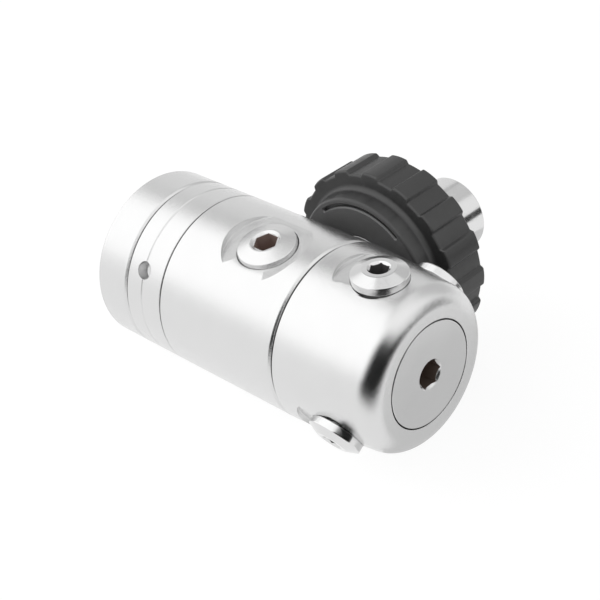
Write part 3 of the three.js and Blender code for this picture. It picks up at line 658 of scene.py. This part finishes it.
def make_bolt():
    line, face = capped(sliced("turret_bolt", ALONG, 45))
    blank = turned("turret_bolt_head", softened(line, 0.12), ALONG)
    cross = rod(-CROSS_REACH, CROSS_REACH, CROSS_HOLE)
    tools = socket_tools(BOLT_SOCKET, face, ALONG)
    tools += [turned("cross", cross, port(LP_X, angle), SMALL) for angle in (0, 90)]
    finish_shape(cut(blank, *tools), "first_stage", "satin_chrome", DISC, BOLT_HOLE, replaces=["turret_bolt"])


def make_plug(name, node, place, socket, body, slot, metal, hole):
    widest_head = 8
    line, face = capped(sliced(node, place, 45))
    blank = turned(name, grooved(softened(line, 0.16), socket["mouth"], widest_head), place, MEDIUM)
    finish_shape(cut(blank, *socket_tools(socket, face, place)), body, slot, metal, hole, replaces=[node])


def make_plugs():
    for i, (x, angle) in enumerate(LP_PLACES, 1):
        make_plug(f"turret_plug_{i}", f"lp_plug_{i}", port(x, angle), LP_SOCKET,
                  "turret", "polished_chrome", BRIGHT, DARK_HOLE)
    for i, (x, angle) in enumerate(HP_PLACES, 1):
        make_plug(f"body_plug_{i}", f"gauge_plug_{i}", port(x, angle), HP_SOCKET,
                  "first_stage", "satin_chrome", SATIN, HP_HOLE)


# ------------------------------------------------------------------ the cylinder connector


def make_spindle():
    """The socket's part of the outline is first brought in to the bore, and the hexagon is then cut anew."""
    line = sliced("din_spindle", INLET, 45)
    face = max(along for along, _ in line)
    floor, near_bore = face - SPINDLE_DEPTH, SPINDLE_BORE + 1
    line = [(along, SPINDLE_BORE if along > floor - TOUCH and r < near_bore else r) for along, r in line]
    blank = turned("inlet_spindle", softened(tidied(line), 0.12), INLET, MEDIUM)
    hexagonal = prism("hex", hexagon(SPINDLE_FLATS), floor, face + PAST, INLET)
    finish_shape(cut(blank, hexagonal), "first_stage", "polished_chrome", BRIGHT, replaces=["din_spindle"])


def make_barrel():
    line = softened(sliced("handwheel_core", INLET, 0), 0.2)
    finish_shape(turned("wheel_barrel", line, INLET), "handwheel", "polished_chrome", BARREL,
                 replaces=["handwheel_core"])


def lobe_drop(share):
    """How far the tread stands below a lobe's top, at a share of the pitch from the lobe's centre."""
    rise = min(max((abs(share) - LOBE_TOP) / (LOBE_FOOT - LOBE_TOP), 0), 1)
    crown = LOBE_CROWN * min(abs(share) / LOBE_TOP, 1) ** 2
    return crown + (LOBE_DEPTH - crown) * rise * rise * (3 - 2 * rise)


def rim_outline(hub):
    """The grip's outside from its hub face to its tread and far face."""
    near, far = RIM
    wall, foot = HUB_RADIUS + HUB_DRAFT, near - HUB_FILLET
    line = arc((hub + HUB_ROUND, HUB_RADIUS - HUB_ROUND), HUB_ROUND, -90, 0, 8)
    line += [(foot + HUB_FILLET * math.sin(t), wall + HUB_FILLET * (1 - math.cos(t)))
             for t in np.linspace(0, math.pi / 2, 9)]
    line += [(near, (RIM_FOOT + WHEEL_RADIUS) / 2)]
    line += arc((near + WHEEL_EDGE, WHEEL_RADIUS - WHEEL_EDGE), WHEEL_EDGE, -90, 0, 7)
    line += [((near + far) / 2, WHEEL_RADIUS)]
    return line + arc((far - WHEEL_EDGE, WHEEL_RADIUS - WHEEL_EDGE), WHEEL_EDGE, 0, 90, 7)


def make_grip():
    line = sliced("handwheel_grip", INLET)
    hub = min(along for along, _ in line)
    outside = rim_outline(hub)
    least = outside[0][1] - TOUCH
    line = swapped(line, lambda along, r: r > least and (along < RIM[0] + TOUCH or r > RIM_FOOT + 2), outside)
    rows = softened(line, 0.32, 5)
    # Where a lobe is sampled, as shares of the pitch: closely on its flanks.
    shares = [-0.5, -0.4] + [round(-0.32 + 0.0125 * i, 4) for i in range(11)] + [-0.16, -0.08]
    shares += [0.0] + [-share for share in reversed(shares[1:])]
    pitch = 2 * math.pi / LOBES
    angles = [(lobe + share) * pitch for lobe in range(LOBES) for share in shares]
    count = len(angles)
    vertices = []
    for along, radius in rows:
        part = min(max((radius - RIM_FOOT) / (WHEEL_RADIUS - WHEEL_EDGE - RIM_FOOT), 0), 1)
        for i, angle in enumerate(angles):
            r = radius - lobe_drop(shares[i % len(shares)]) * part
            vertices.append(INLET @ Vector((r * math.cos(angle), r * math.sin(angle), along)))
    faces = [face for row in range(len(rows))
             for face in band(row * count, (row + 1) % len(rows) * count, count)]
    grip = mesh_object("wheel_grip", vertices, faces)
    tools = [slot_tool(hub, math.pi / 2 + i * 2 * math.pi / SLOTS) for i in range(SLOTS)]
    finish_shape(cut(grip, *tools), "handwheel", "wheel_rubber", WHEEL, replaces=["handwheel_grip"], limit=38)


def slot_outline(centre, inner, outer):
    """A slot's outline. Its round ends belong to SLOT_SPAN, also where it is drawn narrower."""
    middle, half_width = (inner + outer) / 2, (outer - inner) / 2
    half = math.radians(SLOT_SPAN / 2) - (SLOT_RADII[1] - SLOT_RADII[0]) / 2 / middle
    turns = np.linspace(-half, half, 40)
    outline = [(outer * math.cos(centre + t), outer * math.sin(centre + t)) for t in turns]
    outline += slot_end(middle, half_width, centre + half, 1)
    outline += [(inner * math.cos(centre + t), inner * math.sin(centre + t)) for t in turns[::-1]]
    return outline + slot_end(middle, half_width, centre - half, -1)


def slot_tool(hub, centre):
    """A curved slot in the hub's face, with bevelled edges."""
    inner, outer = SLOT_RADII
    place = INLET @ Matrix.Scale(-1, 4, (0, 1, 0))
    wide = slot_outline(centre, inner, outer)
    narrow = slot_outline(centre, inner + SLOT_BEVEL, outer - SLOT_BEVEL)
    levels = ((hub - PAST, wide), (hub, wide), (hub + SLOT_BEVEL, narrow), (hub + SLOT_DEPTH, narrow))
    count, last = len(wide), len(levels) - 1
    vertices = [place @ Vector((x, y, level)) for level, outline in levels for x, y in outline]
    faces = [face for k in range(last) for face in band(k * count, (k + 1) * count, count)]
    faces += [tuple(range(count))[::-1], tuple(range(last * count, (last + 1) * count))]
    return mesh_object("slot", vertices, faces)


def slot_end(radius, half_width, angle, side):
    """A slot's round end: the points between its outer and inner edges, or back."""
    centre = Vector((radius * math.cos(angle), radius * math.sin(angle)))
    out = Vector((math.cos(angle), math.sin(angle)))
    on = Vector((-math.sin(angle), math.cos(angle))) * side
    turns = np.linspace(0, math.pi, 9)[1:-1]
    points = [centre + out * half_width * math.cos(t) + on * half_width * math.sin(t) for t in turns]
    return [tuple(p) for p in (points if side > 0 else points[::-1])]


# ------------------------------------------------------------------ the turned pieces inside

INSIDE = [
    # name, node, axis, body, slot, sides
    ("outer_membrane", "environmental_diaphragm", ALONG, "first_stage", "seal_rubber", FINE),
    ("seat_ring", "spring_seat", ALONG, "spring_seat", "spring_steel", MEDIUM),
    ("slip_washer", "thrust_washer", ALONG, "first_stage", "white_plastic", MEDIUM),
    ("pressure_plate", "diaphragm_plate", ALONG, "valve_train", "brass", MEDIUM),
    ("inner_membrane", "main_diaphragm", ALONG, "first_stage", "seal_rubber", MEDIUM),
    ("push_rod", "load_transmitter", ALONG, "valve_train", "white_plastic", MEDIUM),
    ("lifter_pin", "valve_lifter", ALONG, "valve_train", "spring_steel", SMALL),
    ("seat_insert", "valve_seat", ALONG, "first_stage", "brass", SMALL),
    ("poppet_stem", "valve_poppet", ALONG, "valve_train", "brass", SMALL),
    ("balance_insert", "balance_plug", ALONG, "first_stage", "brass", SMALL),
    ("bolt_washer", "turret_washer", ALONG, "first_stage", "white_plastic", MEDIUM),
    ("inlet_filter", "din_filter", INLET, "first_stage", "sintered_bronze", SMALL),
    ("filter_ring", "filter_clip", INLET, "first_stage", "spring_steel", SMALL),
]


def make_inside():
    """The turned pieces, and the materials of the nodes that are shown as they are."""
    for name, node, place, body, slot, sides in INSIDE:
        line = softened(sliced(node, place), 0.08, 3)
        finish_shape(turned(name, line, place, sides), body, slot, BY_SLOT[slot], replaces=[node])
    slots = {part["node"]: part["material_slot"] for part in frame["record"]["subparts"]}
    for name, node in frame["nodes"].items():
        if not node.hide_render:
            node.data.materials.clear()
            node.data.materials.append(BY_SLOT[slots[name]])


# ------------------------------------------------------------------ camera, floor and lights

# The camera, fitted to the outlines in the photograph. Its place and directions are on the bench.
CAMERA_AT = (234.0, -172.9, 170.8)
CAMERA_FORWARD = (-0.61418, 0.56828, -0.54758)
CAMERA_UP = (-0.32460, 0.45054, 0.83166)
FOCAL_PIXELS, IMAGE_PIXELS, SENSOR = 1356.7, 600, 36.0


def make_camera():
    data = bpy.data.cameras.new("camera")
    data.sensor_width = SENSOR
    data.lens = FOCAL_PIXELS / IMAGE_PIXELS * SENSOR
    data.clip_start, data.clip_end = 0.01, 50
    camera = bpy.data.objects.new("camera", data)
    bpy.context.scene.collection.objects.link(camera)
    turn = BENCH.to_3x3().normalized()
    back = -(turn @ Vector(CAMERA_FORWARD)).normalized()
    up = turn @ Vector(CAMERA_UP)
    right = up.cross(back).normalized()
    up = back.cross(right)
    rows = Matrix((right, up, back)).transposed()
    camera.matrix_world = Matrix.Translation(BENCH @ Vector(CAMERA_AT)) @ rows.to_4x4()
    bpy.context.scene.camera = camera


def seen_directly(tree):
    """1 on rays from the camera, from gloss and through glass, and 0 on the rest."""
    rays = tree.nodes.new("ShaderNodeLightPath")
    total = rays.outputs["Is Camera Ray"]
    for name in ("Is Glossy Ray", "Is Transmission Ray"):
        node = tree.nodes.new("ShaderNodeMath")
        node.operation = "MAXIMUM"
        tree.links.new(total, node.inputs[0])
        tree.links.new(rays.outputs[name], node.inputs[1])
        total = node.outputs[0]
    return total


def make_world(level=0.5):
    world = bpy.data.worlds.new("studio")
    bpy.context.scene.world = world
    world.use_nodes = True
    tree = world.node_tree
    background = tree.nodes["Background"]
    background.inputs["Color"].default_value = (1, 1, 1, 1)
    strength = tree.nodes.new("ShaderNodeMapRange")
    strength.inputs["To Min"].default_value = level
    strength.inputs["To Max"].default_value = 1
    tree.links.new(seen_directly(tree), strength.inputs["Value"])
    tree.links.new(strength.outputs["Result"], background.inputs["Strength"])


def make_floor(size=3.0, glow=0.88, shaded_share=0.22, plain_share=0.8):
    """White to the camera and in reflections, with the object's soft shadow left in it."""
    corners = [(-size, -size, 0), (size, -size, 0), (size, size, 0), (-size, size, 0)]
    floor = mesh_object("floor", corners, [(0, 1, 2, 3)])
    material = bpy.data.materials.new("floor")
    material.use_nodes = True
    tree = material.node_tree
    tree.nodes.remove(tree.nodes["Principled BSDF"])
    glowing = tree.nodes.new("ShaderNodeEmission")
    glowing.inputs["Strength"].default_value = glow
    shaded = tree.nodes.new("ShaderNodeBsdfDiffuse")
    shaded.inputs["Color"].default_value = (*grey(shaded_share), 1)
    both = tree.nodes.new("ShaderNodeAddShader")
    tree.links.new(glowing.outputs[0], both.inputs[0])
    tree.links.new(shaded.outputs[0], both.inputs[1])
    plain = tree.nodes.new("ShaderNodeBsdfDiffuse")
    plain.inputs["Color"].default_value = (*grey(plain_share), 1)
    mix = tree.nodes.new("ShaderNodeMixShader")
    tree.links.new(seen_directly(tree), mix.inputs[0])
    tree.links.new(plain.outputs[0], mix.inputs[1])
    tree.links.new(both.outputs[0], mix.inputs[2])
    tree.links.new(mix.outputs[0], tree.nodes["Material Output"].inputs["Surface"])
    floor.data.materials.append(material)


MIDDLE = Vector((0, 0, 0.02))  # of the object, for what stands round it


def heading(azimuth, elevation):
    """A direction from the object, in the frame's axes. Angles are in degrees."""
    a, e = math.radians(azimuth), math.radians(elevation)
    return Vector((math.cos(e) * math.cos(a), math.cos(e) * math.sin(a), math.sin(e)))


def glowing_card(card, name, level):
    """Makes a mesh a card that only reflections see."""
    material = bpy.data.materials.new(name)
    material.use_nodes = True
    tree = material.node_tree
    tree.nodes.remove(tree.nodes["Principled BSDF"])
    glow = tree.nodes.new("ShaderNodeEmission")
    glow.inputs["Color"].default_value = (*grey(level), 1)
    tree.links.new(glow.outputs[0], tree.nodes["Material Output"].inputs["Surface"])
    card.data.materials.append(material)
    card.visible_camera = card.visible_diffuse = card.visible_shadow = card.visible_transmission = False


def make_card(name, azimuths, elevations, level, distance=1.0, steps=12):
    """A curved card between two azimuths and two elevations, as seen from the object."""
    vertices = [MIDDLE + heading(a, e) * distance
                for e in np.linspace(*elevations, steps + 1) for a in np.linspace(*azimuths, steps + 1)]
    row = steps + 1
    faces = [(e * row + a, e * row + a + 1, (e + 1) * row + a + 1, (e + 1) * row + a)
             for e in range(steps) for a in range(steps)]
    glowing_card(mesh_object(name, vertices, faces), name, level)


def make_shape(name, outline, level, origin, along, up):
    """A flat card, drawn from its origin along two directions."""
    vertices = [(Vector(origin) + along * u + up * v) * MM for u, v in outline]
    glowing_card(mesh_object(name, vertices, [tuple(range(len(outline)))]), name, level)


def make_softbox(azimuth, elevation, size, power, distance=1.0):
    """Lights what is dull. Its own reflection is left to a card."""
    data = bpy.data.lights.new("softbox", "AREA")
    data.shape = "SQUARE"
    data.size = size
    data.energy = power
    light = bpy.data.objects.new("softbox", data)
    bpy.context.scene.collection.objects.link(light)
    out = heading(azimuth, elevation)
    turn = out.to_track_quat("Z", "Y").to_matrix().to_4x4()
    light.matrix_world = Matrix.Translation(MIDDLE + out * distance) @ turn
    light.visible_glossy = False


# Name, azimuths, elevations, level and distance in metres.
CARDS = [
    ("key_card", (-185, -60), (5, 75), 1.42, 1.0),
    ("top_card", (-60, 40), (26, 75), 1.16, 1.0),
    ("back_card", (60, 112), (4, 54), 0.68, 1.0),
    ("side_card", (112, 175), (-6, 42), 0.88, 1.0),
    ("upper_card", (112, 165), (42, 76), 0.56, 1.0),
    ("bar_card", (36, 52), (-1, 13), 0.04, 0.8),
]
# What stands dark before the turret's end, as its side and round edge show it: a black shape, and a grey one.
# Shapes are outlines in millimetres.
FRONT_AT, FRONT_FACING = (76.5, -19.6, 0), -15
BLACK_SHAPE = [(-150, 0), (-95, 2), (-60, 6), (-42, 6), (-30, 8), (-12, 12), (2, 18), (14, 22), (24, 26),
               (24, 34), (6, 38), (-8, 43), (-14, 50), (-19, 58), (-26, 66), (-36, 72), (-46, 76), (-54, 74),
               (-62, 68), (-70, 60), (-76, 53), (-84, 46), (-92, 40), (-104, 34), (-120, 28), (-150, 24)]
GREY_SHAPE = [(24, 23), (40, 22), (50, 18), (100, 16), (100, 50), (60, 48), (44, 43), (30, 38), (24, 34)]
# The ground beside the object, where its shadow keeps it darker in reflections. It lies just over the floor.
GROUND_SHAPE = [(40, -30), (66, -18), (82, 10), (80, 40), (60, 62), (30, 72), (-5, 66), (-20, 40), (0, 10)]
GROUND_AT = (0, 0, 0.4)


def make_studio():
    make_camera()
    make_world()
    make_floor()
    make_softbox(azimuth=-137, elevation=38, size=0.9, power=3.0)
    for card in CARDS:
        make_card(*card)
    turn = math.radians(FRONT_FACING)
    x, y, z = Vector((1, 0, 0)), Vector((0, 1, 0)), Vector((0, 0, 1))
    across = y * math.cos(turn) - x * math.sin(turn)
    make_shape("black_card", BLACK_SHAPE, 0.01, FRONT_AT, across, z)
    make_shape("grey_card", GREY_SHAPE, 0.2, FRONT_AT, across, z)
    make_shape("ground_card", GROUND_SHAPE, 0.72, GROUND_AT, x, y)


make_cap()
make_clamp()
make_body()
make_turret()
make_bolt()
make_plugs()
make_spindle()
make_barrel()
make_grip()
make_inside()
make_studio()
bpy.context.scene.view_settings.view_transform = "Standard"
